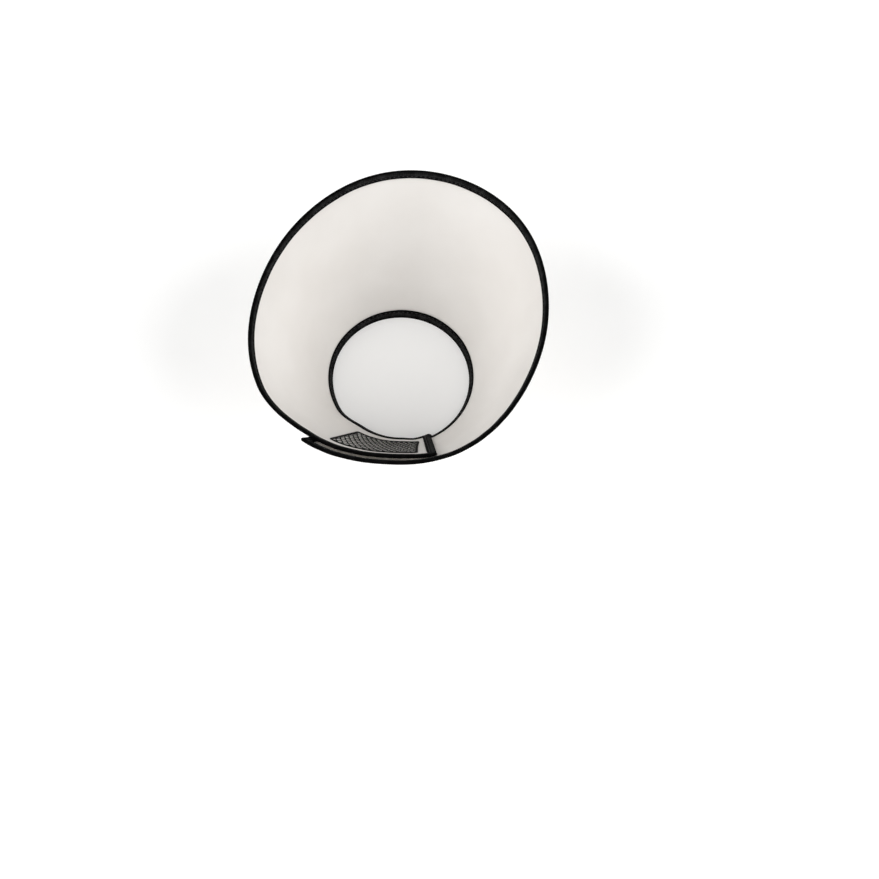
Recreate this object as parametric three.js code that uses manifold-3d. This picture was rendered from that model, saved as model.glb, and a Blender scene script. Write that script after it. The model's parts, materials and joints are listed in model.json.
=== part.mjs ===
// Elizabethan collar: a flexible frosted sheet rolled into a cone and closed at the throat.
// Millimetres, +Z up. The collar stands on its neck edge with its mouth up. The throat, where
// the closure is, faces -Y. Angles run round the cone from the nape (+Y), positive towards +X.
// The sheet runs from its inner end, under the throat, round the nape to its outer end, over
// the throat. It is drawn about the centre of the neck edge, then moved so that the origin is
// under the middle of its outline, on the plane that it stands on.
import * as THREE from 'three';
import Module from 'manifold-3d';
import { mergeVertices } from 'three/addons/utils/BufferGeometryUtils.js';

// Cone. The mouth is a little oval and three-cornered, and flatter where the sheet is doubled.
const NECK_RADIUS = 80;
const MOUTH_RADIUS = 164.6;
const MOUTH_OVAL = 0.075;
const MOUTH_OVAL_ANGLE = 22;
const MOUTH_CORNERS = 0.011;
const MOUTH_CORNER_ANGLE = 15;
const THROAT_FLATTENING = 6.2;
const THROAT_FLAT_ANGLE = 191;
const THROAT_FLAT_SHARPNESS = 12;
const SLANT_LENGTH = 188;
const EDGE_HEIGHT = 2;

// Sheet and its two overlapping ends, in degrees round the cone
const SHEET_THICKNESS = 1;
const LAYER_SPACING = 5.4;
const INNER_SETBACK = 12;
const TUCK_START = 118;
const TUCK_END = 145;
const END_CLOSING = 1.8;
const CLOSING_START = 180;
const CLOSING_END = 193;
const INNER_END_AT_NECK = -204;
const INNER_END_AT_RIM = -193;
const OUTER_END = 216;

// Bend lines, where the sheet flexes as it opens
const SIDE_BEND = 40;
const FRONT_BEND = 110;
const INNER_END_BEND = 145;
const OUTER_END_BEND = 165;
const BEND_GAP = 0.3;

// Bindings: a tape folded over an edge of the sheet
const RIM_TAPE = { width: 9, thickness: 4.2 };
const NECK_TAPE = { width: 9, thickness: 3.2, drop: 3.6 };
const END_TAPE = { width: 10, thickness: 3.2 };
const FOLD_ARC_SEGMENTS = 4;

// Closure: patches sewn on the faces of the sheet
const PATCH_THICKNESS = 0.9;
const PANEL_FROM = -150;
const PANEL_TO_AT_NECK = -191;
const PANEL_TO_AT_RIM = -186;
const PANEL_LOW = 38;
const PANEL_HIGH = 146;
const PANEL_TAPE_WIDTH = 2.8;
const PANEL_TAPE_THICKNESS = 1;
const HOOK_FROM = 180;
const HOOK_TO = 208;
const HOOK_STRIP_WIDTH = 38;
const LOWER_HOOK_LOW = 42;
const UPPER_HOOK_LOW = 104;

// Gaps between neighbouring solids
const CLEARANCE = 0.3;
const FACE_CLEARANCE = 0.45;

// Smoothness of the curved pieces
const DEGREES_PER_STEP = 5;
const DEGREES_PER_PATCH_STEP = 3.5;
const STEPS_UP_ASKEW_CUT = 8;

const wasm = await Module();
wasm.setup();

const plastic = new THREE.MeshStandardMaterial({ color: 0xe9e6e2, roughness: 0.55, metalness: 0 });
const tape = new THREE.MeshStandardMaterial({ color: 0x141414, roughness: 0.9, metalness: 0 });
const fastener = new THREE.MeshStandardMaterial({ color: 0x1b1c1c, roughness: 0.95, metalness: 0 });
const netting = new THREE.MeshStandardMaterial({ color: 0x3a3f3c, roughness: 0.85, metalness: 0 });

const { degToRad, radToDeg, lerp, smoothstep } = THREE.MathUtils;

// The stretches of the sheet between its bend lines. The inner end is cut askew.
const zones = {
  back: { from: -SIDE_BEND, to: SIDE_BEND },
  left_side: { from: -SIDE_BEND, to: -FRONT_BEND },
  left_front: { from: -FRONT_BEND, to: -INNER_END_BEND },
  inner_end: { from: -INNER_END_BEND, to: INNER_END_AT_NECK, toAtRim: INNER_END_AT_RIM },
  right_side: { from: SIDE_BEND, to: FRONT_BEND },
  right_front: { from: FRONT_BEND, to: OUTER_END_BEND },
  outer_end: { from: OUTER_END_BEND, to: OUTER_END },
};

// How far the sheet is tucked under its other end: 0 on the main wall, 1 in the overlap
function tuck(angle) {
  return smoothstep(-angle, TUCK_START, TUCK_END);
}

// How far the middle of the sheet lies inside the main wall. The inner end hugs the outer end
// more closely at its free edge, past the closure.
function layerDrop(angle) {
  return LAYER_SPACING * tuck(angle) - END_CLOSING * smoothstep(-angle, CLOSING_START, CLOSING_END);
}

function mouthRadius(angle) {
  const oval = MOUTH_OVAL * Math.cos(2 * degToRad(angle - MOUTH_OVAL_ANGLE));
  const corners = MOUTH_CORNERS * Math.cos(3 * degToRad(angle - MOUTH_CORNER_ANGLE));
  const facing = Math.max(0, Math.cos(degToRad(angle - THROAT_FLAT_ANGLE)));
  const flattening = THROAT_FLATTENING * facing ** THROAT_FLAT_SHARPNESS;
  return MOUTH_RADIUS * (1 + oval + corners) - flattening;
}

// Length of the sheet from its neck edge to its rim edge
function rimSlant(angle) {
  return SLANT_LENGTH - INNER_SETBACK * tuck(angle);
}

// Outward run of the cone for each millimetre of slant
function flareAt(angle) {
  return (mouthRadius(angle) - NECK_RADIUS) / SLANT_LENGTH;
}

// A point of the rolled cone: angle round it, slant up from the neck edge, offset outwards.
// Nothing goes below the plane that the collar stands on.
function conePoint(angle, slant, offset) {
  const flare = flareAt(angle);
  const rise = Math.sqrt(1 - flare * flare);
  const outward = offset - layerDrop(angle);
  const radius = NECK_RADIUS + slant * flare + outward * rise;
  const height = EDGE_HEIGHT + slant * rise - outward * flare;
  const turn = degToRad(angle);
  return new THREE.Vector3(radius * Math.sin(turn), radius * Math.cos(turn), Math.max(height, 0));
}

function signedVolume(geometry) {
  const corners = [new THREE.Vector3(), new THREE.Vector3(), new THREE.Vector3()];
  const { index, attributes } = geometry;
  let sum = 0;
  for (let i = 0; i < index.count; i += 3) {
    corners.forEach((corner, k) => corner.fromBufferAttribute(attributes.position, index.getX(i + k)));
    sum += corners[0].dot(corners[1].cross(corners[2]));
  }
  return sum / 6;
}

function flipFaces(geometry) {
  const { index } = geometry;
  for (let i = 0; i < index.count; i += 3) {
    const first = index.getX(i);
    index.setX(i, index.getX(i + 1));
    index.setX(i + 1, first);
  }
}

// Moves each corner of a flat pattern with place(x, y, z), and keeps its faces pointing out.
function bend(pattern, place) {
  pattern.deleteAttribute('normal');
  pattern.deleteAttribute('uv');
  const bent = mergeVertices(pattern);
  const { position } = bent.attributes;
  for (let i = 0; i < position.count; i += 1) {
    const point = place(position.getX(i), position.getY(i), position.getZ(i));
    position.setXYZ(i, point.x, point.y, point.z);
  }
  if (signedVolume(bent) < 0) {
    flipFaces(bent);
  }
  bent.computeVertexNormals();
  return bent;
}

// The angle of an outline's askew end, at a share of the slant. The cut is straight in the flat
// sheet, so it turns faster near the neck edge.
function cutAngle({ to, toAtRim = to }, share) {
  const way = THREE.MathUtils.clamp(share, 0, 1);
  const radius = lerp(NECK_RADIUS, MOUTH_RADIUS, way);
  return lerp(to, toAtRim, (way * MOUTH_RADIUS) / radius);
}

// Rolls a pattern into the cone. Its x runs 0 to 1 along the zone, y is a share of the slant
// for the askew cut, slantAt(angle, y) gives the slant, and z is the offset.
function roll(pattern, zone, slantAt) {
  return bend(pattern, (x, y, z) => {
    const angle = lerp(zone.from, cutAngle(zone, y), x);
    return conePoint(angle, slantAt(angle, y), z);
  });
}

// The zone less half of the gap at each of its bend lines
function betweenBends(zone) {
  const half = (Math.sign(zone.to - zone.from) * BEND_GAP) / 2;
  const isFreeEnd = zone === zones.outer_end || zone === zones.inner_end;
  return { ...zone, from: zone.from + half, to: isFreeEnd ? zone.to : zone.to - half };
}

function stepsAlong(zone) {
  return Math.ceil(Math.abs(zone.to - zone.from) / DEGREES_PER_STEP);
}

function sheet(zone) {
  const stepsUp = zone.toAtRim ? STEPS_UP_ASKEW_CUT : 1;
  const pattern = new THREE.BoxGeometry(1, 1, SHEET_THICKNESS, stepsAlong(zone), stepsUp, 1);
  pattern.translate(0.5, 0.5, 0);
  return roll(pattern, betweenBends(zone), (angle, y) => y * rimSlant(angle));
}

// How far a folded tape reaches over the face of the sheet
function reach({ width, thickness }) {
  return width - thickness / 2 - CLEARANCE;
}

// Cross-section of a folded tape: x is the distance past the sheet's edge, y the offset.
// A drop gives it a square fold that reaches further past the edge.
function foldedTape({ width, thickness, drop }) {
  const half = thickness / 2;
  const slot = SHEET_THICKNESS / 2 + CLEARANCE;
  const lip = -reach({ width, thickness });
  const shape = new THREE.Shape();
  shape.moveTo(lip, -half);
  if (drop) {
    shape.lineTo(drop, -half);
    shape.lineTo(drop, half);
  } else {
    shape.lineTo(CLEARANCE, -half);
    shape.absarc(CLEARANCE, 0, half, -Math.PI / 2, Math.PI / 2, false);
  }
  shape.lineTo(lip, half);
  shape.lineTo(lip, slot);
  shape.lineTo(CLEARANCE, slot);
  shape.lineTo(CLEARANCE, -slot);
  shape.lineTo(lip, -slot);
  shape.closePath();
  return shape;
}

function tapePattern(shape, steps) {
  const options = { depth: 1, steps, bevelEnabled: false, curveSegments: FOLD_ARC_SEGMENTS };
  return new THREE.ExtrudeGeometry(shape, options);
}

function rimBinding(zone) {
  const part = betweenBends(zone);
  const end = part.toAtRim ?? part.to;
  return bend(tapePattern(foldedTape(RIM_TAPE), stepsAlong(zone)), (x, y, z) => {
    const angle = lerp(part.from, end, z);
    return conePoint(angle, rimSlant(angle) + x, y);
  });
}

// The neck tape is pressed flat where the collar stands on it.
function neckBinding(zone) {
  const part = betweenBends(zone);
  return bend(tapePattern(foldedTape(NECK_TAPE), stepsAlong(zone)), (x, y, z) => {
    return conePoint(lerp(part.from, part.to, z), -x, y);
  });
}

// A tape folded over a free end of the sheet, between the neck tape and the rim tape
function endBinding(zone) {
  const low = reach(NECK_TAPE) + CLEARANCE;
  const top = rimSlant(zone.to);
  const high = top - reach(RIM_TAPE) - CLEARANCE;
  return bend(tapePattern(foldedTape(END_TAPE), STEPS_UP_ASKEW_CUT), (x, y, z) => {
    const slant = lerp(low, high, z);
    const end = cutAngle(zone, slant / top);
    const radius = NECK_RADIUS + slant * flareAt(end);
    return conePoint(end + Math.sign(end) * radToDeg(x / radius), slant, y);
  });
}

// A patch on one face of the sheet. Side is 1 for the outside face and -1 for the inside one.
// Extra depth is added to both of its faces.
function patch({ from, to, toAtRim, low, high, side, thickness = PATCH_THICKNESS, extra = 0 }) {
  const steps = Math.ceil(Math.abs(to - from) / DEGREES_PER_PATCH_STEP);
  const stepsUp = toAtRim ? STEPS_UP_ASKEW_CUT : 1;
  const pattern = new THREE.BoxGeometry(1, 1, thickness + 2 * extra, steps, stepsUp, 1);
  pattern.translate(0.5, 0.5, side * (SHEET_THICKNESS / 2 + FACE_CLEARANCE + thickness / 2));
  return roll(pattern, { from, to, toAtRim }, (angle, y) => lerp(low, high, y));
}

function toSolid(geometry) {
  const vertProperties = Float32Array.from(geometry.attributes.position.array);
  const triVerts = Uint32Array.from(geometry.index.array);
  return new wasm.Manifold(new wasm.Mesh({ numProp: 3, vertProperties, triVerts }));
}

function fromSolid(solid) {
  const { vertProperties, triVerts } = solid.getMesh();
  const geometry = new THREE.BufferGeometry();
  geometry.setAttribute('position', new THREE.BufferAttribute(vertProperties, 3));
  geometry.setIndex(new THREE.BufferAttribute(triVerts, 1));
  geometry.computeVertexNormals();
  return geometry;
}

const panel = {
  from: PANEL_FROM,
  to: PANEL_TO_AT_NECK,
  toAtRim: PANEL_TO_AT_RIM,
  low: PANEL_LOW,
  high: PANEL_HIGH,
};

// The panel's outline moved out by a margin, given at the panel's middle slant
function widened(outline, margin) {
  const middle = (outline.low + outline.high) / 2;
  const radius = NECK_RADIUS + middle * flareAt(outline.from);
  const turn = Math.sign(outline.to) * radToDeg(margin / radius);
  return {
    ...outline,
    from: outline.from - turn,
    to: outline.to + turn,
    toAtRim: outline.toAtRim + turn,
    low: outline.low - margin,
    high: outline.high + margin,
  };
}

// The tape sewn round the edge of the panel: a frame with the panel's outline cut out of it
function panelTape() {
  const shared = { side: -1, thickness: PANEL_TAPE_THICKNESS };
  const frame = patch({ ...widened(panel, PANEL_TAPE_WIDTH), ...shared });
  const opening = patch({ ...widened(panel, CLEARANCE), ...shared, extra: PANEL_TAPE_THICKNESS });
  return fromSolid(toSolid(frame).subtract(toSolid(opening)));
}

const collar = new THREE.Group();

function addPart(name, geometry, material) {
  const part = new THREE.Mesh(geometry, material);
  part.name = name;
  collar.add(part);
}

for (const [name, zone] of Object.entries(zones)) {
  addPart(`sheet_${name}`, sheet(zone), plastic);
  addPart(`rim_binding_${name}`, rimBinding(zone), tape);
  addPart(`neck_binding_${name}`, neckBinding(zone), tape);
}

addPart('inner_end_binding', endBinding(zones.inner_end), tape);
addPart('outer_end_binding', endBinding(zones.outer_end), tape);

addPart('mesh_panel', patch({ ...panel, side: -1 }), netting);
addPart('mesh_panel_tape', panelTape(), tape);
addPart('loop_panel', patch({ ...panel, side: 1 }), fastener);

const hooks = { from: HOOK_FROM, to: HOOK_TO, side: -1 };
const lowerHooks = { ...hooks, low: LOWER_HOOK_LOW, high: LOWER_HOOK_LOW + HOOK_STRIP_WIDTH };
const upperHooks = { ...hooks, low: UPPER_HOOK_LOW, high: UPPER_HOOK_LOW + HOOK_STRIP_WIDTH };
addPart('lower_hook_strip', patch(lowerHooks), fastener);
addPart('upper_hook_strip', patch(upperHooks), fastener);

const middle = new THREE.Box3().setFromObject(collar).getCenter(new THREE.Vector3());
collar.position.set(-middle.x, -middle.y, 0);

export default collar;
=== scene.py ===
"""Looks for the elizabethan collar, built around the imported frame. Metres and degrees.

Every piece is drawn in the flat pattern of the sheet and then rolled into the cone: a place
in the pattern is (angle round the cone, slant up from the neck edge, offset from the middle
of the sheet). Angles run from the nape (+Y), positive towards +X, as in the CAD.
"""
import json
import math

import bmesh
import bpy
import numpy as np
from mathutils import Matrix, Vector

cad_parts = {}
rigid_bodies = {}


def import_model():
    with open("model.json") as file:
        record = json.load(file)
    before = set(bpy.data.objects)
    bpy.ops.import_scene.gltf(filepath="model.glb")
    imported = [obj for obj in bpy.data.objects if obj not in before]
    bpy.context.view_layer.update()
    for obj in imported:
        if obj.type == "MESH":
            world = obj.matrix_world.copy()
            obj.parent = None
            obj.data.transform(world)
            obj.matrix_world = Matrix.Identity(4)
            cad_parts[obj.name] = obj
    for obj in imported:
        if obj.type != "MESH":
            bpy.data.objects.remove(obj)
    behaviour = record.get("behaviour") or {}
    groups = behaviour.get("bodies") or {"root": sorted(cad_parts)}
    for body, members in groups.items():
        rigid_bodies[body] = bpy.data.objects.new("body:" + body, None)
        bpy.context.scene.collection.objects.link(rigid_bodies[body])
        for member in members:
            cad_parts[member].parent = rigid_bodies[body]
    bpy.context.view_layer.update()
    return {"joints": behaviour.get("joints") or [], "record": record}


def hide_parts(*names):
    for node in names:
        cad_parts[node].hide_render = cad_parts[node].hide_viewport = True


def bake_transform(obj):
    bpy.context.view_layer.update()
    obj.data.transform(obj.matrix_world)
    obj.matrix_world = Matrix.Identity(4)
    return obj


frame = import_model()
MM = 0.001

# The cone, as in the CAD
NECK_RADIUS = 80 * MM
MOUTH_RADIUS = 164.6 * MM
MOUTH_OVAL = 0.075
MOUTH_OVAL_ANGLE = 22
MOUTH_CORNERS = 0.011
MOUTH_CORNER_ANGLE = 15
THROAT_FLATTENING = 6.2 * MM
THROAT_FLAT_ANGLE = 191
THROAT_FLAT_SHARPNESS = 12
SLANT_LENGTH = 188 * MM
EDGE_HEIGHT = 2 * MM
SHEET_THICKNESS = 1 * MM
LAYER_SPACING = 5.4 * MM
INNER_SETBACK = 12 * MM
TUCK_START = 118
TUCK_END = 145
END_CLOSING = 1.8 * MM
CLOSING_START = 180
CLOSING_END = 193
INNER_END_AT_NECK = -204
INNER_END_AT_RIM = -193
OUTER_END = 216
FREE_ENDS = (INNER_END_AT_NECK, OUTER_END)

# The sheet's slight unevenness: height, waves in a full turn, and phase
RIPPLES = ((0.4 * MM, 3, 0.6), (0.3 * MM, 7, 2.1))
CREASE_HEIGHT = 0.1 * MM

# Bending: how far each side of a bend line the sheet curves
BEND_REACH_LIMIT = 58 * MM
BEND_REACH_SHARE = 0.97
NARROWEST_RADIUS = 72 * MM

# Tapes: width on each face, half of the thickness, and the neck tape's drop past the edge
RIM_TAPE = {"width": 9 * MM, "half": 2.1 * MM}
NECK_TAPE = {"width": 9 * MM, "half": 1.6 * MM, "drop": 3.6 * MM}
END_TAPE = {"width": 10 * MM, "half": 1.6 * MM}
TAPE_LEG_INSIDE = 0.56 * MM
TAPE_OVERHANG = 1.9 * MM
EDGE_GAP = 0.3 * MM

# A tape's cross-section. The lip's bevels are shares of the thickness of one leg
NECK_FOLD_CORNER = 0.5 * MM
FOLD_SETBACK = 0.6 * MM
FOLD_POINTS = 9
FACE_POINTS = 11
LIP_BEVEL = 0.25
LIP_DROP = 0.3
LIP_SLOT_BEVEL = 0.2
EDGE_FULLNESS = 0.86
FULLNESS_SKEW = 0.8
PINCHED_SHARE = 0.15

# A tape's relief, and how far its lip wanders: by how much, over what length
RIB_PITCH = 2.2 * MM
RIB_HEIGHT = 0.1 * MM
SELVEDGE_WIDTH = 0.9 * MM
SELVEDGE_HEIGHT = 0.22 * MM
OUTER_FACE_SHARE = 0.7
SLOT_MARGIN = 1.2
PUCKER_REACH = 1.2 * MM
PUCKER_DEPTH = 0.16 * MM
PUCKER_BEAT = 0.26 * MM
WANDERS = ((0.16 * MM, 23 * MM), (0.08 * MM, 7.3 * MM))
WANDER_MARGIN = 1.5 * MM

# Stitches
STITCH_PITCH = 5 * MM
STITCH_LENGTH = 3.4 * MM
STITCH_RADIUS = 0.42 * MM
STITCH_LINE_SHARE = 0.6
STITCH_SIDES = 6
STITCH_SPANS = 4
STITCH_END_SHARE = 0.45
STITCH_DIVE = 1.2

# Mesh panel and loop panel, on the two faces of the inner end
PANEL_FROM = -150
PANEL_TO_AT_NECK = -191
PANEL_TO_AT_RIM = -186
PANEL_LOW = 38 * MM
PANEL_HIGH = 146 * MM
PANEL_HEIGHT = PANEL_HIGH - PANEL_LOW
PANEL_TAPE_WIDTH = 2.8 * MM
PANEL_TAPE_HEIGHT = 1.2 * MM
PANEL_TAPE_GAP = 0.06 * MM
PANEL_TAPE_SIDE_SHARE = 0.25
PANEL_TAPE_POINTS = 9
PANEL_CORNER = 4 * MM
PANEL_CORNER_POINTS = 7
PANEL_OUTLINE_STEP = 1 * MM
NET_CELL_WIDTH = 7 * MM
NET_CELL_HEIGHT = 17 * MM
CORD_WIDTH = 2 * MM
CORD_THICKNESS = 0.42 * MM
CORD_STEP = 1.1 * MM
CORD_TUCK = 1.2 * MM
CORD_GAP = 0.15 * MM
CORD_WEAVE = 0.2 * MM
CORD_SIDES = 8
SHORTEST_CORD = 4
PATCH_THICKNESS = 0.9 * MM
PATCH_GAP = 0.05 * MM
PATCH_EDGE_SHARE = 0.45
PATCH_EDGE_CELLS = 1.5
PILE_HEIGHT = 0.16 * MM

# Hook strips, on the inside face of the outer end
HOOK_FROM = 180
HOOK_TO = 208
HOOK_STRIP_WIDTH = 38 * MM
LOWER_HOOK_LOW = 42 * MM
UPPER_HOOK_LOW = 104 * MM
HOOK_PITCH = 2.3 * MM
HOOK_HEIGHT = 1.1 * MM
HOOK_LEAN = 0.8
HOOK_ROOT = SHEET_THICKNESS / 2 + PATCH_THICKNESS * 0.9
HOOK_STEM = np.array([(0, 0), (0.05, 0.45), (0.25, 0.85), (0.6, 1.0), (0.85, 0.8)])
HOOK_RADII = np.array([0.34, 0.26, 0.24, 0.22, 0.14]) * MM
HOOK_SIDES = 4

# Mesh density
ALONG_STEP = 0.73 * MM
SHEET_STEP_DEGREES = 1.0
SHEET_ROWS = 14
SHARP_EDGE = math.radians(50)

# Weave, ply and knit: how far apart their threads lie, and the middle of the painted highlight on
# a tape's face
WEFT_PITCH = 1.1 * MM
WARP_PITCH = 0.62 * MM
COARSE_WARP_PITCH = 2.6 * MM
PAINTED_HIGHLIGHT_MIDDLE = 1.7 * MM
PLY_PITCH = 0.42 * MM
KNIT_PITCH = 0.8 * MM

# Colours, each from its darkest to its lightest
PLASTIC_COLOURS = (0.84, 0.815, 0.785), (0.90, 0.88, 0.855)
TAPE_COLOURS = (0.0008, 0.0008, 0.0008), (0.036, 0.036, 0.0363)
THREAD_COLOURS = (0.022, 0.022, 0.023), (0.075, 0.075, 0.077)
CORD_COLOURS = (0.004, 0.006, 0.0048), (0.014, 0.019, 0.0155)
PILE_COLOURS = (0.003, 0.003, 0.0033), (0.018, 0.018, 0.0187)
HOOK_COLOURS = (0.004, 0.004, 0.0045), (0.013, 0.013, 0.014)
FLOOR_COLOURS = (0.90, 0.90, 0.895), (0.93, 0.93, 0.925)
WHITE = (1, 1, 1, 1)

# Studio
CAMERA_ELEVATION = 65
CAMERA_DISTANCE = 2.2
CAMERA_LENS = 84.4
AIM_RIGHT = 0.0411
AIM_DOWN = 0.1268
MOUTH_HEIGHT = 0.157
FLOOR_REACH = 6.0
FLOOR_DROP = 0.2 * MM
WORLD_STRENGTH = 0.38

mounts = {m["name"]: m["pos_m"] for m in frame["record"]["mounts"]}
NECK_CENTRE = np.array([mounts["neck_edge_nape"][0], mounts["neck_edge_right"][1], 0.0])


# ---------------------------------------------------------------- the rolled cone

def smoothstep(x, low, high):
    t = np.clip((x - low) / (high - low), 0, 1)
    return t * t * (3 - 2 * t)


def swaying_wave(x, y, count, sway, sway_count):
    """A wave along x whose crests sway with y."""
    return np.sin(count * x + sway * np.sin(sway_count * y))


def tuck(angle):
    return smoothstep(-angle, TUCK_START, TUCK_END)


def layer_drop(angle):
    """How far the sheet lies inside the main wall: less at the inner end's free edge."""
    closing = END_CLOSING * smoothstep(-angle, CLOSING_START, CLOSING_END)
    return LAYER_SPACING * tuck(angle) - closing


def mouth_radius(angle):
    oval = MOUTH_OVAL * np.cos(2 * np.radians(angle - MOUTH_OVAL_ANGLE))
    corners = MOUTH_CORNERS * np.cos(3 * np.radians(angle - MOUTH_CORNER_ANGLE))
    facing = np.maximum(0, np.cos(np.radians(angle - THROAT_FLAT_ANGLE)))
    return MOUTH_RADIUS * (1 + oval + corners) - THROAT_FLATTENING * facing**THROAT_FLAT_SHARPNESS


def flare_at(angle):
    return (mouth_radius(angle) - NECK_RADIUS) / SLANT_LENGTH


def rim_slant(angle):
    return SLANT_LENGTH - INNER_SETBACK * tuck(angle)


def radius_at(angle, slant):
    return NECK_RADIUS + slant * flare_at(angle)


def ripple(angle, slant):
    """Long shallow waves, and fine creases at the throat. Both fade towards the neck edge."""
    turn = np.radians(angle)
    waves = sum(height * np.sin(count * turn + phase) for height, count, phase in RIPPLES)
    near_throat = np.maximum(0, -np.cos(turn)) ** 2
    creases = near_throat * swaying_wave(turn, turn, count=31, sway=3, sway_count=5)
    return (waves + CREASE_HEIGHT * creases) * np.clip(slant / SLANT_LENGTH, 0, 1)


def cone_point(angle, slant, offset):
    angle, slant, offset = np.broadcast_arrays(angle, slant, offset)
    flare = flare_at(angle)
    rise = np.sqrt(1 - flare * flare)
    outward = offset - layer_drop(angle) + ripple(angle, slant)
    radius = NECK_RADIUS + slant * flare + outward * rise
    height = EDGE_HEIGHT + slant * rise - outward * flare
    turn = np.radians(angle)
    xyz = np.stack([radius * np.sin(turn), radius * np.cos(turn), np.maximum(height, 0)], -1)
    return xyz + NECK_CENTRE


def cut_angle(at_neck, at_rim, share):
    """The angle of an askew cut at a share of the slant. It is straight in the flat sheet."""
    way = np.clip(share, 0, 1)
    radius = NECK_RADIUS + (MOUTH_RADIUS - NECK_RADIUS) * way
    return at_neck + (at_rim - at_neck) * way * MOUTH_RADIUS / radius


# ---------------------------------------------------------------- bend lines

class Stretch:
    """The part of the sheet around one bend line, between the line's two bodies."""

    def __init__(self, joint, angle, start, end):
        self.bodies = joint["parent"], joint["child"]
        self.name = joint["child"]
        self.angle = angle
        self.start, self.end = start, end
        self.is_free = end in FREE_ENDS

    def end_angle(self, share):
        """Where the stretch ends, at a share of the slant: the inner end is cut askew."""
        if self.end == INNER_END_AT_NECK:
            return cut_angle(INNER_END_AT_NECK, INNER_END_AT_RIM, share)
        return np.full_like(share, self.end)

    def reach(self, meet):
        """How far the bend spreads towards one end of the stretch."""
        room = NARROWEST_RADIUS * math.sin(math.radians(min(abs(meet - self.angle), 90)))
        return min(room * BEND_REACH_SHARE, BEND_REACH_LIMIT)

    def attach(self, obj, node_names, slot):
        """Bakes a piece's transform, and hides the CAD nodes that it stands for."""
        middle = Vector(cone_point(self.angle, SLANT_LENGTH / 2, 0.0))
        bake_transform(obj)
        if node_names:
            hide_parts(*node_names)


def hinge_angle(joint):
    x, y = (joint["pos_m"][i] - NECK_CENTRE[i] for i in (0, 1))
    return math.degrees(math.atan2(x, y))


def make_stretches():
    """One stretch for each bend line, meeting half way between neighbouring lines."""
    lines = sorted(((hinge_angle(j), j) for j in frame["joints"]), key=lambda pair: pair[0])
    angles = [pair[0] for pair in lines]
    between = [(a + b) / 2 for a, b in zip(angles, angles[1:])]
    meets = [INNER_END_AT_NECK] + between + [OUTER_END]
    stretches = []
    for (angle, joint), low, high in zip(lines, meets, meets[1:]):
        start, end = (low, high) if angle > 0 else (high, low)
        stretches.append(Stretch(joint, angle, start, end))
    return stretches


# ---------------------------------------------------------------- mesh building

def mesh_object(name, points, faces, uvs, material, joins=()):
    """A mesh from points and faces. The faces numbered in joins meet a neighbouring piece."""
    mesh = bpy.data.meshes.new(name)
    mesh.from_pydata([tuple(p) for p in points], [], faces)
    layer = mesh.uv_layers.new(name="pattern")
    loop_vertices = np.empty(len(mesh.loops), dtype=np.int32)
    mesh.loops.foreach_get("vertex_index", loop_vertices)
    layer.data.foreach_set("uv", np.asarray(uvs, dtype=np.float32)[loop_vertices].ravel())
    mesh.polygons.foreach_set("use_smooth", [True] * len(mesh.polygons))
    mesh.materials.append(material)
    if joins:
        mesh.materials.append(JOIN)
        for number in joins:
            mesh.polygons[number].material_index = 1
    mesh.update()
    obj = bpy.data.objects.new(name, mesh)
    bpy.context.scene.collection.objects.link(obj)
    face_outwards(mesh)
    mesh.set_sharp_from_angle(angle=SHARP_EDGE)
    return obj


def face_outwards(mesh):
    work = bmesh.new()
    work.from_mesh(mesh)
    bmesh.ops.recalc_face_normals(work, faces=work.faces)
    work.to_mesh(mesh)
    work.free()


def tube_faces(stations, ring, closed=False):
    """Quads between rings of points, with end caps unless the tube closes on itself."""
    faces = []
    spans = stations if closed else stations - 1
    for i in range(spans):
        a, b = i * ring, ((i + 1) % stations) * ring
        for k in range(ring):
            n = (k + 1) % ring
            faces.append((a + k, a + n, b + n, b + k))
    if not closed:
        faces.append(tuple(range(ring)))
        faces.append(tuple(range((stations - 1) * ring, stations * ring))[::-1])
    return faces


def slab_faces(columns, rows):
    """Faces of a thin slab whose rings go up its front and down its back, and its caps."""
    ring = 2 * rows
    faces = tube_faces(columns, ring)[:-2]
    last = (columns - 1) * ring
    start_cap, end_cap = [], []
    for i in range(rows - 1):
        j = ring - 1 - i
        start_cap.append(len(faces))
        faces.append((i, i + 1, j - 1, j))
        end_cap.append(len(faces))
        faces.append((last + j, last + j - 1, last + i + 1, last + i))
    return faces, start_cap, end_cap


class Batch:
    """Many small tubes that are gathered into one mesh."""

    def __init__(self):
        self.points, self.faces, self.uvs = [], [], []
        self.count = 0

    def add_tube(self, points, stations, ring, uvs):
        faces = tube_faces(stations, ring)
        self.faces += [tuple(self.count + corner for corner in face) for face in faces]
        self.points.append(points.reshape(-1, 3))
        self.uvs.append(uvs.reshape(-1, 2))
        self.count += stations * ring

    def build(self, name, material):
        points, uvs = np.concatenate(self.points), np.concatenate(self.uvs)
        return mesh_object(name, points, self.faces, uvs, material)


def path_length(path):
    """The length along a path up to each of its places.

    A path is four arrays: angle, slant, and the across direction as (round the cone, up it).
    """
    middle = cone_point(path[0], path[1], 0.0)
    steps = np.linalg.norm(np.diff(middle, axis=0), axis=1)
    return np.concatenate([[0], np.cumsum(steps)])


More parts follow.
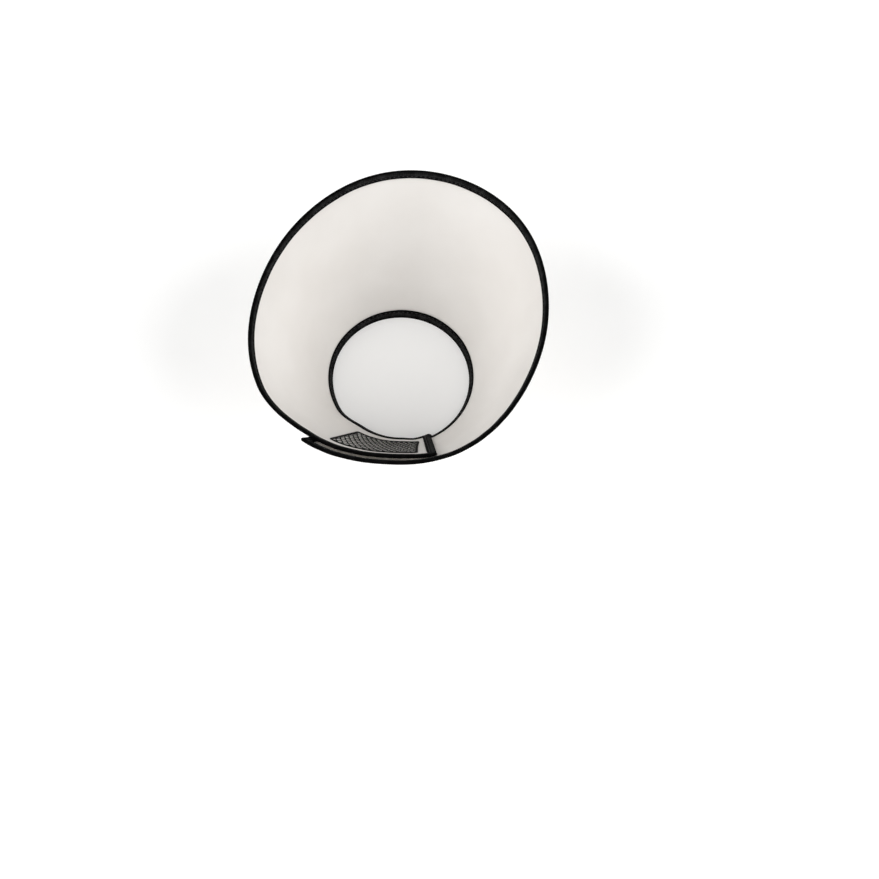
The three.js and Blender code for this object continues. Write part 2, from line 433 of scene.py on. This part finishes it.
def sweep(name, path, profile, material, closed=False):
    """Sweeps a profile of (across, offset), the same or one for each place, along a path."""
    angle, slant, across_x, across_y = path
    if profile.ndim == 2:
        profile = np.broadcast_to(profile, (len(angle),) + profile.shape)
    width, offset = profile[..., 0], profile[..., 1]
    local_radius = radius_at(angle, slant)[:, None]
    angles = angle[:, None] + np.degrees(width * across_x[:, None] / local_radius)
    slants = slant[:, None] + width * across_y[:, None]
    points = cone_point(angles, slants, offset)
    uvs = np.stack(np.broadcast_arrays(path_length(path)[:, None], width), -1)
    faces = tube_faces(*width.shape, closed)
    return mesh_object(name, points.reshape(-1, 3), faces, uvs.reshape(-1, 2), material)


# ---------------------------------------------------------------- materials

class Nodes:
    """A small helper for procedural materials that work in the pattern's own metres."""

    def __init__(self, name):
        self.material = bpy.data.materials.new(name)
        self.material.use_nodes = True
        self.tree = self.material.node_tree
        self.shader = self.tree.nodes["Principled BSDF"]
        self.output = self.tree.nodes["Material Output"]

    def add(self, kind, **values):
        node = self.tree.nodes.new(kind)
        for key, value in values.items():
            if hasattr(node, key):
                setattr(node, key, value)
            else:
                node.inputs[key].default_value = value
        return node

    def link(self, source, target):
        self.tree.links.new(source, target)

    def shade(self, **values):
        """Sets the shader's inputs, from numbers or from other nodes."""
        names = {"colour": "Base Color", "roughness": "Roughness", "sheen": "Sheen Weight",
                 "specular": "Specular IOR Level", "ior": "IOR", "glow": "Emission Strength"}
        for key, value in values.items():
            self.feed(value, self.shader.inputs[names[key]])

    def feed(self, value, socket):
        if isinstance(value, (int, float)):
            socket.default_value = value
        else:
            self.link(value, socket)

    def math(self, operation, a, b=None):
        node = self.add("ShaderNodeMath", operation=operation)
        self.feed(a, node.inputs[0])
        if b is not None:
            self.feed(b, node.inputs[1])
        return node.outputs[0]

    def mixed(self, *parts):
        """The sum of values, each given with its weight."""
        total = None
        for value, weight in parts:
            part = self.math("MULTIPLY", value, weight)
            total = part if total is None else self.math("ADD", total, part)
        return total

    def pattern(self):
        uv = self.add("ShaderNodeUVMap", uv_map="pattern")
        split = self.add("ShaderNodeSeparateXYZ")
        self.link(uv.outputs[0], split.inputs[0])
        return uv.outputs[0], split.outputs[0], split.outputs[1]

    def noise(self, scale, detail, roughness, vector=None, stretch=None):
        node = self.add("ShaderNodeTexNoise", Scale=scale, Detail=detail, Roughness=roughness)
        source = vector or self.add("ShaderNodeTexCoord").outputs["Object"]
        if stretch:
            mapping = self.add("ShaderNodeMapping")
            mapping.inputs["Scale"].default_value = stretch
            self.link(source, mapping.inputs["Vector"])
            source = mapping.outputs[0]
        self.link(source, node.inputs["Vector"])
        return node.outputs["Fac"]

    def wave(self, coordinate, pitch, phase=None):
        turns = self.math("MULTIPLY", coordinate, 2 * math.pi / pitch)
        if phase is not None:
            turns = self.math("ADD", turns, phase)
        return self.math("SINE", turns)

    def ramp(self, value, low, high, colours):
        node = self.add("ShaderNodeValToRGB")
        for element, position, colour in zip(node.color_ramp.elements, (low, high), colours):
            element.position = position
            element.color = (*colour, 1)
        self.link(value, node.inputs[0])
        return node.outputs[0]

    def bump(self, height, distance, strength=1.0):
        node = self.add("ShaderNodeBump", Distance=distance, Strength=strength)
        self.link(height, node.inputs["Height"])
        self.link(node.outputs[0], self.shader.inputs["Normal"])
        return node.outputs[0]


def greys(low, high):
    return (low,) * 3, (high,) * 3


def frosted_plastic():
    """Milky sheet: soft sheen, fine frost, faint drawing lines and a little scuffing."""
    n = Nodes("frosted_plastic")
    vector, _, _ = n.pattern()
    cloud = n.noise(scale=9, detail=3, roughness=0.55)
    colour = n.ramp(cloud, low=0.3, high=0.75, colours=PLASTIC_COLOURS)
    scuff = n.noise(scale=60, detail=6, roughness=0.7, vector=vector, stretch=(1, 0.12, 1))
    rough = n.ramp(scuff, low=0.35, high=0.75, colours=greys(0.42, 0.62))
    n.shade(colour=colour, roughness=rough, ior=1.46, specular=0.35)
    grain = n.noise(scale=2600, detail=2, roughness=0.6)
    lines = n.noise(scale=900, detail=1, roughness=0.5, vector=vector, stretch=(0.004, 1, 1))
    normal = n.bump(n.mixed((grain, 0.7), (lines, 0.5)), distance=0.05 * MM, strength=0.6)
    through = n.add("ShaderNodeBsdfTranslucent")
    n.link(colour, through.inputs["Color"])
    n.link(normal, through.inputs["Normal"])
    mix = n.add("ShaderNodeMixShader", Fac=0.2)
    n.link(n.shader.outputs[0], mix.inputs[1])
    n.link(through.outputs[0], mix.inputs[2])
    n.link(mix.outputs[0], n.output.inputs["Surface"])
    return n.material


def woven_tape():
    """Black woven tape: fine threads both ways, with a painted highlight along its middle and
    painted shade towards its edges.
    """
    n = Nodes("woven_tape")
    vector, along, across = n.pattern()
    uneven = n.noise(scale=300, detail=2, roughness=0.5, vector=vector)
    wobble = n.mixed((uneven, 1.6))
    ribs = n.wave(along, WEFT_PITCH, wobble)
    threads = n.wave(across, WARP_PITCH, wobble)
    woven = n.math("MULTIPLY", n.math("ADD", ribs, 1.0), n.math("ADD", threads, 1.4))
    fuzz = n.noise(scale=1900, detail=3, roughness=0.7)
    lengthwise = n.wave(across, COARSE_WARP_PITCH, wobble)
    coarse = n.math("ADD", n.wave(along, RIB_PITCH), lengthwise)
    worn = n.noise(scale=150, detail=3, roughness=0.6)
    # Painted highlight along the middle of the face and painted shade towards the lip and fold,
    # standing in for the light on the tape's rounded crown
    from_painted_highlight = n.math("ABSOLUTE", n.math("ADD", across, PAINTED_HIGHLIGHT_MIDDLE))
    lit = n.mixed((woven, 0.09), (fuzz, 0.3), (coarse, 0.08), (worn, 0.9), (from_painted_highlight, -95.0))
    colour = n.ramp(lit, low=0.45, high=0.98, colours=TAPE_COLOURS)
    n.shade(colour=colour, roughness=0.8, specular=0.03)
    n.bump(n.mixed((woven, 0.22), (fuzz, 0.35)), distance=0.22 * MM, strength=0.9)
    return n.material


def sewing_thread():
    """Polyester sewing thread: twisted, a little lighter and shinier than the tape."""
    n = Nodes("sewing_thread")
    _, along, across = n.pattern()
    plies = n.wave(n.mixed((along, 1.0), (across, 1.6)), PLY_PITCH)
    colour = n.ramp(plies, low=0, high=1, colours=THREAD_COLOURS)
    n.shade(colour=colour, roughness=0.55, specular=0.2)
    n.bump(plies, distance=0.08 * MM, strength=0.8)
    return n.material


def net_cord():
    """Coated mesh cord: dark green-black with a dull shine and a knitted surface."""
    n = Nodes("net_cord")
    _, along, across = n.pattern()
    knit = n.wave(n.math("ADD", along, across), KNIT_PITCH)
    mottle = n.noise(scale=500, detail=3, roughness=0.6)
    colour = n.ramp(mottle, low=0.3, high=0.8, colours=CORD_COLOURS)
    n.shade(colour=colour, roughness=0.7, specular=0.12)
    n.bump(knit, distance=0.1 * MM, strength=0.7)
    return n.material


def loop_pile():
    """Napped loop fabric: matt black with a brushed, clumped pile."""
    n = Nodes("loop_pile")
    clumps = n.noise(scale=700, detail=4, roughness=0.7)
    hairs = n.noise(scale=3200, detail=2, roughness=0.6)
    height = n.mixed((clumps, 1.0), (hairs, 0.5))
    colour = n.ramp(height, low=0.45, high=1, colours=PILE_COLOURS)
    n.shade(colour=colour, roughness=0.95, specular=0.04, sheen=0.02)
    n.bump(height, distance=0.4 * MM)
    return n.material


def hook_nylon():
    """Moulded hooks and their tape: black nylon with a low shine."""
    n = Nodes("hook_nylon")
    mottle = n.noise(scale=900, detail=3, roughness=0.6)
    colour = n.ramp(mottle, low=0.3, high=0.8, colours=HOOK_COLOURS)
    rough = n.ramp(mottle, low=0.3, high=0.8, colours=greys(0.38, 0.55))
    n.shade(colour=colour, roughness=rough, specular=0.2)
    n.bump(mottle, distance=0.06 * MM, strength=0.5)
    return n.material


def pale_floor():
    """Pale matt floor, lit a little from within so that the shadows on it stay faint."""
    n = Nodes("pale_floor")
    mottle = n.noise(scale=3, detail=2, roughness=0.5)
    colour = n.ramp(mottle, low=0.2, high=0.8, colours=FLOOR_COLOURS)
    n.shader.inputs["Emission Color"].default_value = WHITE
    n.shade(colour=colour, roughness=0.9, specular=0.1, glow=0.13)
    return n.material


def clear_join():
    """The cut between two pieces of one sheet: light passes as if it were not there."""
    n = Nodes("clear_join")
    clear = n.add("ShaderNodeBsdfTransparent")
    n.link(clear.outputs[0], n.output.inputs["Surface"])
    return n.material


JOIN = clear_join()
PLASTIC = frosted_plastic()
TAPE = woven_tape()
THREAD = sewing_thread()
CORD = net_cord()
PILE = loop_pile()
HOOKS = hook_nylon()


# ---------------------------------------------------------------- the sheet

def build_sheet(stretch):
    share = np.linspace(0, 1, SHEET_ROWS)
    columns = int(abs(stretch.end - stretch.start) / SHEET_STEP_DEGREES) + 1
    run = (1 - np.cos(np.pi * np.linspace(0, 1, columns))) / 2
    ends = stretch.end_angle(share)
    angles = stretch.start + run[:, None] * (ends[None] - stretch.start)
    slants = share[None] * rim_slant(angles)
    half = SHEET_THICKNESS / 2
    inside = cone_point(angles, slants, -half)
    outside = cone_point(angles[:, ::-1], slants[:, ::-1], half)
    points = np.concatenate([inside, outside], axis=1)
    u = np.radians(np.concatenate([angles, angles[:, ::-1]], axis=1)) * MOUTH_RADIUS
    v = np.concatenate([slants, slants[:, ::-1]], axis=1)
    uvs = np.stack([u, v], -1).reshape(-1, 2)
    faces, start_cap, end_cap = slab_faces(columns, SHEET_ROWS)
    joins = start_cap if stretch.is_free else start_cap + end_cap
    name = f"sheet_bend_{stretch.name}"
    return mesh_object(name, points.reshape(-1, 3), faces, uvs, PLASTIC, joins)


# ---------------------------------------------------------------- bindings

def fullness(x, lip):
    """How full a tape is, from its lip to its fold: fullest between the two."""
    share = min(max((x - lip) / (EDGE_GAP - lip), 0), 1)
    return EDGE_FULLNESS + (1 - EDGE_FULLNESS) * math.sin(math.pi * share**FULLNESS_SKEW)


def folded_profile(tape):
    """Cross-section of a tape folded over an edge: across runs past the edge, then offset."""
    half, drop = tape["half"], tape.get("drop")
    lip = -(tape["width"] - half - EDGE_GAP)
    leg = half - TAPE_LEG_INSIDE
    if drop:
        centre, reach = drop - NECK_FOLD_CORNER, NECK_FOLD_CORNER
    else:
        centre, reach = EDGE_GAP, half
    turn = np.radians(np.linspace(-90, 90, FOLD_POINTS))
    fold = [(centre + reach * math.cos(t), half * math.sin(t)) for t in turn]
    face = np.linspace(lip + leg * LIP_BEVEL, EDGE_GAP - FOLD_SETBACK, FACE_POINTS)
    below = [(x, -half * fullness(x, lip)) for x in face]
    above = [(x, half * fullness(x, lip)) for x in face[::-1]]
    edge = [(lip, half - leg * LIP_DROP), (lip, TAPE_LEG_INSIDE + leg * LIP_BEVEL)]
    slot = [(lip + leg * LIP_SLOT_BEVEL, TAPE_LEG_INSIDE), (EDGE_GAP, TAPE_LEG_INSIDE)]
    upper = edge + slot
    lower = [(x, -y) for x, y in upper[::-1]]
    return np.array(below + fold + above + upper + lower)


def stitch_line(tape):
    return -(tape["width"] - tape["half"]) * STITCH_LINE_SHARE


def sewn(profile, along, tape):
    """The tape's relief along its path: ribs, a thick selvedge, and a pucker at each stitch."""
    across, offset = profile[:, 0], profile[:, 1]
    outer = (np.abs(offset) > tape["half"] * OUTER_FACE_SHARE)[None]
    flat = (np.abs(offset) > TAPE_LEG_INSIDE * SLOT_MARGIN)[None]
    near_stitches = np.exp(-(((across - stitch_line(tape)) / PUCKER_REACH) ** 2))[None]
    near_lip = np.clip(1 - (across - across.min()) / SELVEDGE_WIDTH, 0, 1)[None]
    beat = (0.5 + 0.5 * np.cos(2 * np.pi * along / STITCH_PITCH))[:, None]
    ribs = np.cos(2 * np.pi * along / RIB_PITCH)[:, None] * RIB_HEIGHT * flat
    relief = ribs * (1 - near_lip) + near_lip * SELVEDGE_HEIGHT * outer
    relief = relief - (PUCKER_DEPTH + PUCKER_BEAT * beat) * near_stitches * outer
    shaped = np.repeat(profile[None], len(along), axis=0)
    past_edge = (across > EDGE_GAP) & ("drop" not in tape)
    from_edge = np.maximum(np.hypot(across - EDGE_GAP, offset), MM)
    outward_x = np.where(past_edge, (across - EDGE_GAP) / from_edge, 0)
    outward_y = np.where(past_edge, offset / from_edge, np.sign(offset))
    shaped[..., 0] += relief * outward_x[None]
    shaped[..., 1] += relief * outward_y[None]
    wander = sum(size * np.sin(along / length) for size, length in WANDERS)
    shaped[..., 0] += wander[:, None] * (across < stitch_line(tape) - WANDER_MARGIN)[None]
    return shaped


def pinched(profile, along):
    """Closes the last of a tape, past the end of the sheet inside it."""
    left = np.clip((along[-1] - along) / TAPE_OVERHANG, 0, 1)
    open_share = np.sqrt(1 - (1 - left) ** 2)
    profile[..., 1] *= (PINCHED_SHARE + (1 - PINCHED_SHARE) * open_share)[:, None]
    return profile


def stitch_shape():
    """Points of one stitch, lying along x: a thread that dives at both ends."""
    points = []
    for s in np.linspace(-1, 1, STITCH_SPANS + 1):
        roundness = math.sqrt(max(0.0, 1 - s * s))
        swell = STITCH_RADIUS * (STITCH_END_SHARE + (1 - STITCH_END_SHARE) * roundness)
        lift = -STITCH_RADIUS * STITCH_DIVE * s * s
        for k in range(STITCH_SIDES):
            turn = 2 * math.pi * k / STITCH_SIDES
            y, z = swell * math.cos(turn), swell * math.sin(turn) + lift
            points.append((s * STITCH_LENGTH / 2, y, z))
    return np.array(points)


def build_stitches(name, path, tape):
    """A row of stitches along a path on each face of the tape."""
    along = path_length(path)
    places = np.arange(STITCH_PITCH / 2, along[-1] - STITCH_LENGTH / 2, STITCH_PITCH)
    shape = stitch_shape()
    sideways = stitch_line(tape) + shape[:, 1]
    batch = Batch()
    for side in (-1, 1):
        offsets = side * (tape["half"] * EDGE_FULLNESS + shape[:, 2])
        for place in places:
            s = place + shape[:, 0]
            angle, slant, x, y = (np.interp(s, along, column) for column in path)
            angles = angle + np.degrees(sideways * x / radius_at(angle, slant))
            points = cone_point(angles, slant + sideways * y, offsets)
            batch.add_tube(points, STITCH_SPANS + 1, STITCH_SIDES, np.stack([s, sideways], -1))
    return batch.build(name, THREAD)


def edge_path(stretch, at_rim, overhang=0.0):
    """A path along the sheet's rim edge or neck edge, with across pointing off the sheet."""
    share = 1.0 if at_rim else 0.0
    radius = MOUTH_RADIUS if at_rim else NECK_RADIUS
    end = float(stretch.end_angle(np.array([share]))[0])
    end += math.copysign(math.degrees(overhang / radius), end)
    count = int(abs(math.radians(end - stretch.start)) * radius / ALONG_STEP) + 1
    angles = np.linspace(stretch.start, end, count)
    slants = rim_slant(angles) if at_rim else np.zeros_like(angles)
    up = np.full_like(angles, 1.0 if at_rim else -1.0)
    return angles, slants, np.zeros_like(angles), up


def end_path(stretch, top):
    """A path up a free end of the sheet, between the neck tape and the rim tape."""
    low = NECK_TAPE["width"] - NECK_TAPE["half"]
    high = top - (RIM_TAPE["width"] - RIM_TAPE["half"])
    slants = np.linspace(low, high, int((high - low) / ALONG_STEP))
    angles = stretch.end_angle(slants / top)
    return angles, slants, np.sign(angles), np.zeros_like(slants)


def build_binding(name, path, tape, longer_path=None):
    """A folded tape and its stitches. A longer path runs past the sheet and closes there."""
    band_path = longer_path or path
    along = path_length(band_path)
    profile = sewn(folded_profile(tape), along, tape)
    if longer_path:
        profile = pinched(profile, along)
    return sweep(name, band_path, profile, TAPE), build_stitches(f"{name}_stitches", path, tape)


# ---------------------------------------------------------------- patches

def panel_angle(run, share):
    """An angle across the panel, which is cut askew like the sheet's inner end."""
    end = cut_angle(PANEL_TO_AT_NECK, PANEL_TO_AT_RIM, share)
    return PANEL_FROM + run * (end - PANEL_FROM)


def hook_angle(run, _share):
    return HOOK_FROM + run * (HOOK_TO - HOOK_FROM)


def clumped(run, share):
    """Uneven height of a brushed pile, from two crossed waves."""
    across = swaying_wave(run, share, count=91, sway=7, sway_count=23)
    up = swaying_wave(share, run, count=83, sway=5, sway_count=29)
    return PILE_HEIGHT * across * up


def patch(name, angle_at, low, high, side, material, columns, rows, relief=None):
    """A thin closed patch on one face of the sheet. Relief adds to its free face."""
    run, share = np.meshgrid(np.linspace(0, 1, columns), np.linspace(0, 1, rows), indexing="ij")
    angles = angle_at(run, share)
    slants = low + share * (high - low)
    near = side * (SHEET_THICKNESS / 2 + PATCH_GAP)
    far = side * (SHEET_THICKNESS / 2 + PATCH_THICKNESS)
    if relief:
        far = far + side * relief(run, share)
    border = np.minimum(np.minimum(run, 1 - run) * columns, np.minimum(share, 1 - share) * rows)
    rounded = np.clip(border / PATCH_EDGE_CELLS, 0, 1) ** 0.5
    top = near + (far - near) * (PATCH_EDGE_SHARE + (1 - PATCH_EDGE_SHARE) * rounded)
    front = cone_point(angles, slants, top)
    back = cone_point(angles[:, ::-1], slants[:, ::-1], near)
    points = np.concatenate([front, back], axis=1)
    uv = np.stack([np.radians(angles) * radius_at(angles, slants), slants], -1)
    uvs = np.concatenate([uv, uv[:, ::-1]], axis=1).reshape(-1, 2)
    faces = slab_faces(columns, rows)[0]
    return mesh_object(name, points.reshape(-1, 3), faces, uvs, material)


# ---------------------------------------------------------------- mesh panel

PANEL_MIDDLE_RADIUS = float(radius_at(PANEL_FROM, (PANEL_LOW + PANEL_HIGH) / 2))
PANEL_SPAN = abs(math.radians((PANEL_TO_AT_NECK + PANEL_TO_AT_RIM) / 2 - PANEL_FROM))
PANEL_WIDTH = PANEL_SPAN * PANEL_MIDDLE_RADIUS


def build_net(name):
    """Two families of slanting flat cords that cross as diamonds, over and under."""
    turn = np.arange(CORD_SIDES) * 2 * np.pi / CORD_SIDES
    ring = np.stack([np.cos(turn) * CORD_WIDTH / 2, np.sin(turn) * CORD_THICKNESS / 2], -1)
    tucked = CORD_TUCK / PANEL_HEIGHT
    share = np.linspace(-tucked, 1 + tucked, int(PANEL_HEIGHT / CORD_STEP))
    lean = PANEL_HEIGHT * NET_CELL_WIDTH / NET_CELL_HEIGHT
    reach = int(PANEL_HEIGHT / NET_CELL_HEIGHT) + 2
    cells = int(round(PANEL_WIDTH / NET_CELL_WIDTH))
    base = -(SHEET_THICKNESS / 2 + CORD_THICKNESS + CORD_GAP)
    batch = Batch()
    for way in (1, -1):
        for cell in range(-reach, cells + reach):
            run = ((cell + 0.5) * NET_CELL_WIDTH + way * share * lean) / PANEL_WIDTH
            inside = np.abs(run - 0.5) < 0.5 + CORD_TUCK / PANEL_WIDTH
            if inside.sum() < SHORTEST_CORD:
                continue
            run, up = run[inside], share[inside]
            weave = np.cos(2 * np.pi * up * PANEL_HEIGHT / NET_CELL_HEIGHT + np.pi * cell)
            lift = way * CORD_WEAVE * weave
            angles = panel_angle(run, up)[:, None]
            slants = (PANEL_LOW + up * PANEL_HEIGHT)[:, None]
            sideways = np.degrees(ring[None, :, 0] / radius_at(angles, slants))
            offsets = base - lift[:, None] + ring[None, :, 1]
            points = cone_point(angles + sideways, slants, offsets)
            uvs = np.stack(np.broadcast_arrays(slants, ring[None, :, 0]), -1)
            batch.add_tube(points, len(up), CORD_SIDES, uvs)
    return batch.build(name, CORD)


def panel_outline():
    """The middle line of the tape round the panel: a rectangle with rounded corners."""
    grow = PANEL_TAPE_WIDTH / 2
    height = PANEL_HEIGHT + 2 * grow
    width = PANEL_WIDTH + 2 * grow
    corners = [
        (width - PANEL_CORNER, PANEL_CORNER, -90),
        (width - PANEL_CORNER, height - PANEL_CORNER, 0),
        (PANEL_CORNER, height - PANEL_CORNER, 90),
        (PANEL_CORNER, PANEL_CORNER, 180),
    ]
    line = []
    for x, y, first in corners:
        for t in np.radians(np.linspace(first, first + 90, PANEL_CORNER_POINTS)):
            line.append((x + PANEL_CORNER * math.cos(t), y + PANEL_CORNER * math.sin(t)))
    line = np.array(line + line[:1])
    lengths = np.concatenate([[0], np.cumsum(np.linalg.norm(np.diff(line, axis=0), axis=1))])
    places = np.linspace(0, lengths[-1], int(lengths[-1] / PANEL_OUTLINE_STEP))
    x = np.interp(places, lengths, line[:, 0])
    y = np.interp(places, lengths, line[:, 1])
    dx, dy = np.gradient(x)[:-1], np.gradient(y)[:-1]
    size = np.hypot(dx, dy)
    x, y = x[:-1], y[:-1]
    angles = panel_angle((x - grow) / PANEL_WIDTH, (y - grow) / PANEL_HEIGHT)
    return angles, PANEL_LOW + y - grow, -dy / size, -dx / size


def build_panel_tape(name):
    """The flat tape round the panel, a little higher along its middle."""
    half = PANEL_TAPE_WIDTH / 2
    low = SHEET_THICKNESS / 2 + PANEL_TAPE_GAP
    rise = SHEET_THICKNESS / 2 + PANEL_TAPE_HEIGHT - low
    crown = []
    for t in np.radians(np.linspace(0, 180, PANEL_TAPE_POINTS)):
        share = max(PANEL_TAPE_SIDE_SHARE, math.sin(t) ** 0.5)
        crown.append((half * math.cos(t), -(low + rise * share)))
    profile = np.array(crown + [(-half, -low), (half, -low)])
    return sweep(name, panel_outline(), profile, TAPE, closed=True)


# ---------------------------------------------------------------- hook strips

def build_hooks(name, low):
    """Rows of small moulded hooks: a stem that leans over at its tip."""
    high = low + HOOK_STRIP_WIDTH
    turn = np.arange(HOOK_SIDES) * 2 * np.pi / HOOK_SIDES
    side = HOOK_RADII[:, None] * np.cos(turn)[None]
    face = HOOK_RADII[:, None] * np.sin(turn)[None]
    rise = (HOOK_ROOT + HOOK_STEM[:, 1] * HOOK_HEIGHT)[:, None]
    lean = (HOOK_STEM[:, 0] * HOOK_HEIGHT * HOOK_LEAN)[:, None]
    batch = Batch()
    rows = np.arange(low + HOOK_PITCH, high - HOOK_PITCH / 2, HOOK_PITCH)
    for number, slant in enumerate(rows):
        radius = float(radius_at((HOOK_FROM + HOOK_TO) / 2, slant))
        step = math.degrees(HOOK_PITCH / radius)
        way = 1 if number % 2 else -1
        for angle in np.arange(HOOK_FROM + step, HOOK_TO - step / 2, step):
            angles = angle + np.degrees((way * lean + side) / radius)
            points = cone_point(angles, slant + face, -rise)
            uvs = np.stack([side + slant, face], -1)
            batch.add_tube(points, len(HOOK_STEM), HOOK_SIDES, uvs)
    return batch.build(name, HOOKS)


# ---------------------------------------------------------------- the collar

def unclaimed_nodes(kind, stretch, claimed):
    """The CAD nodes that a stretch's piece stands for, each claimed once."""
    names = [f"{kind}_{body}" for body in stretch.bodies]
    fresh = [name for name in names if name not in claimed]
    claimed.update(fresh)
    return fresh


def build_collar():
    claimed = set()
    stretches = make_stretches()
    for stretch in stretches:
        nodes = unclaimed_nodes("sheet", stretch, claimed)
        stretch.attach(build_sheet(stretch), nodes, "frosted_sheet")
        for kind, tape in (("rim_binding", RIM_TAPE), ("neck_binding", NECK_TAPE)):
            at_rim = tape is RIM_TAPE
            path = edge_path(stretch, at_rim)
            longer = edge_path(stretch, at_rim, TAPE_OVERHANG) if stretch.is_free else None
            band, rows = build_binding(f"{kind}_bend_{stretch.name}", path, tape, longer)
            stretch.attach(band, unclaimed_nodes(kind, stretch, claimed), "binding_tape")
            stretch.attach(rows, [], "binding_tape")

    inner = next(s for s in stretches if s.end == INNER_END_AT_NECK)
    outer = next(s for s in stretches if s.end == OUTER_END)
    for node, stretch, top in (
        ("inner_end_binding", inner, SLANT_LENGTH - INNER_SETBACK),
        ("outer_end_binding", outer, SLANT_LENGTH),
    ):
        band, rows = build_binding(f"{node}_tape", end_path(stretch, top), END_TAPE)
        stretch.attach(band, [node], "binding_tape")
        stretch.attach(rows, [], "binding_tape")

    pile = patch("loop_panel_pile", panel_angle, PANEL_LOW, PANEL_HIGH, side=1,
                 material=PILE, columns=90, rows=110, relief=clumped)
    inner.attach(pile, ["loop_panel"], "loop_fabric")
    inner.attach(build_net("mesh_panel_net"), ["mesh_panel"], "mesh_fabric")
    inner.attach(build_panel_tape("mesh_panel_edge_tape"), ["mesh_panel_tape"], "binding_tape")

    for node, low in (("lower_hook_strip", LOWER_HOOK_LOW), ("upper_hook_strip", UPPER_HOOK_LOW)):
        base = patch(f"{node}_tape", hook_angle, low, low + HOOK_STRIP_WIDTH, side=-1,
                     material=HOOKS, columns=40, rows=30)
        outer.attach(base, [node], "hook_tape")
        outer.attach(build_hooks(f"{node}_hooks", low), [], "hook_tape")


# ---------------------------------------------------------------- studio

def build_floor():
    mesh = bpy.data.meshes.new("floor")
    corners = [(-1, -1), (1, -1), (1, 1), (-1, 1)]
    places = [(x * FLOOR_REACH, y * FLOOR_REACH, -FLOOR_DROP) for x, y in corners]
    mesh.from_pydata(places, [], [(0, 1, 2, 3)])
    mesh.materials.append(pale_floor())
    floor = bpy.data.objects.new("floor", mesh)
    bpy.context.scene.collection.objects.link(floor)


def build_camera():
    elevation = math.radians(CAMERA_ELEVATION)
    back = Vector((0, -math.cos(elevation), math.sin(elevation)))
    up = Vector((0, math.sin(elevation), math.cos(elevation)))
    subject = Vector(NECK_CENTRE) + Vector((0, 0, MOUTH_HEIGHT))
    camera = bpy.data.objects.new("camera", bpy.data.cameras.new("camera"))
    bpy.context.scene.collection.objects.link(camera)
    camera.data.lens = CAMERA_LENS
    camera.location = subject + back * CAMERA_DISTANCE
    aim = subject + Vector((AIM_RIGHT, 0, 0)) - up * AIM_DOWN
    level = (subject - camera.location).to_track_quat("-Z", "Y")
    swing = (subject - camera.location).rotation_difference(aim - camera.location)
    camera.rotation_euler = (swing @ level).to_euler()
    bpy.context.scene.camera = camera


def build_sun(name, azimuth, elevation, strength, softness):
    """A soft light from far away, so that the floor is lit evenly out to its edge."""
    light = bpy.data.lights.new(name, "SUN")
    light.energy = strength
    light.angle = math.radians(softness)
    lamp = bpy.data.objects.new(name, light)
    bpy.context.scene.collection.objects.link(lamp)
    turn, tilt = math.radians(azimuth), math.radians(elevation)
    level = math.cos(tilt)
    toward = Vector((level * math.sin(turn), -level * math.cos(turn), math.sin(tilt)))
    lamp.rotation_euler = toward.to_track_quat("Z", "Y").to_euler()


def build_world():
    """Even light from all round. The camera sees plain white past the floor's edge."""
    world = bpy.data.worlds.new("studio")
    bpy.context.scene.world = world
    world.use_nodes = True
    tree = world.node_tree
    lighting = tree.nodes["Background"]
    lighting.inputs["Color"].default_value = WHITE
    lighting.inputs["Strength"].default_value = WORLD_STRENGTH
    seen = tree.nodes.new("ShaderNodeBackground")
    seen.inputs["Color"].default_value = WHITE
    path = tree.nodes.new("ShaderNodeLightPath")
    mix = tree.nodes.new("ShaderNodeMixShader")
    tree.links.new(path.outputs["Is Camera Ray"], mix.inputs["Fac"])
    tree.links.new(lighting.outputs[0], mix.inputs[1])
    tree.links.new(seen.outputs[0], mix.inputs[2])
    tree.links.new(mix.outputs[0], tree.nodes["World Output"].inputs["Surface"])


build_collar()
build_floor()
build_camera()
build_world()
build_sun("left_key", azimuth=-74, elevation=35, strength=1.95, softness=50)
build_sun("right_key", azimuth=74, elevation=35, strength=1.95, softness=50)
build_sun("front_fill", azimuth=0, elevation=55, strength=0.3, softness=60)
bpy.context.scene.view_settings.view_transform = "Standard"
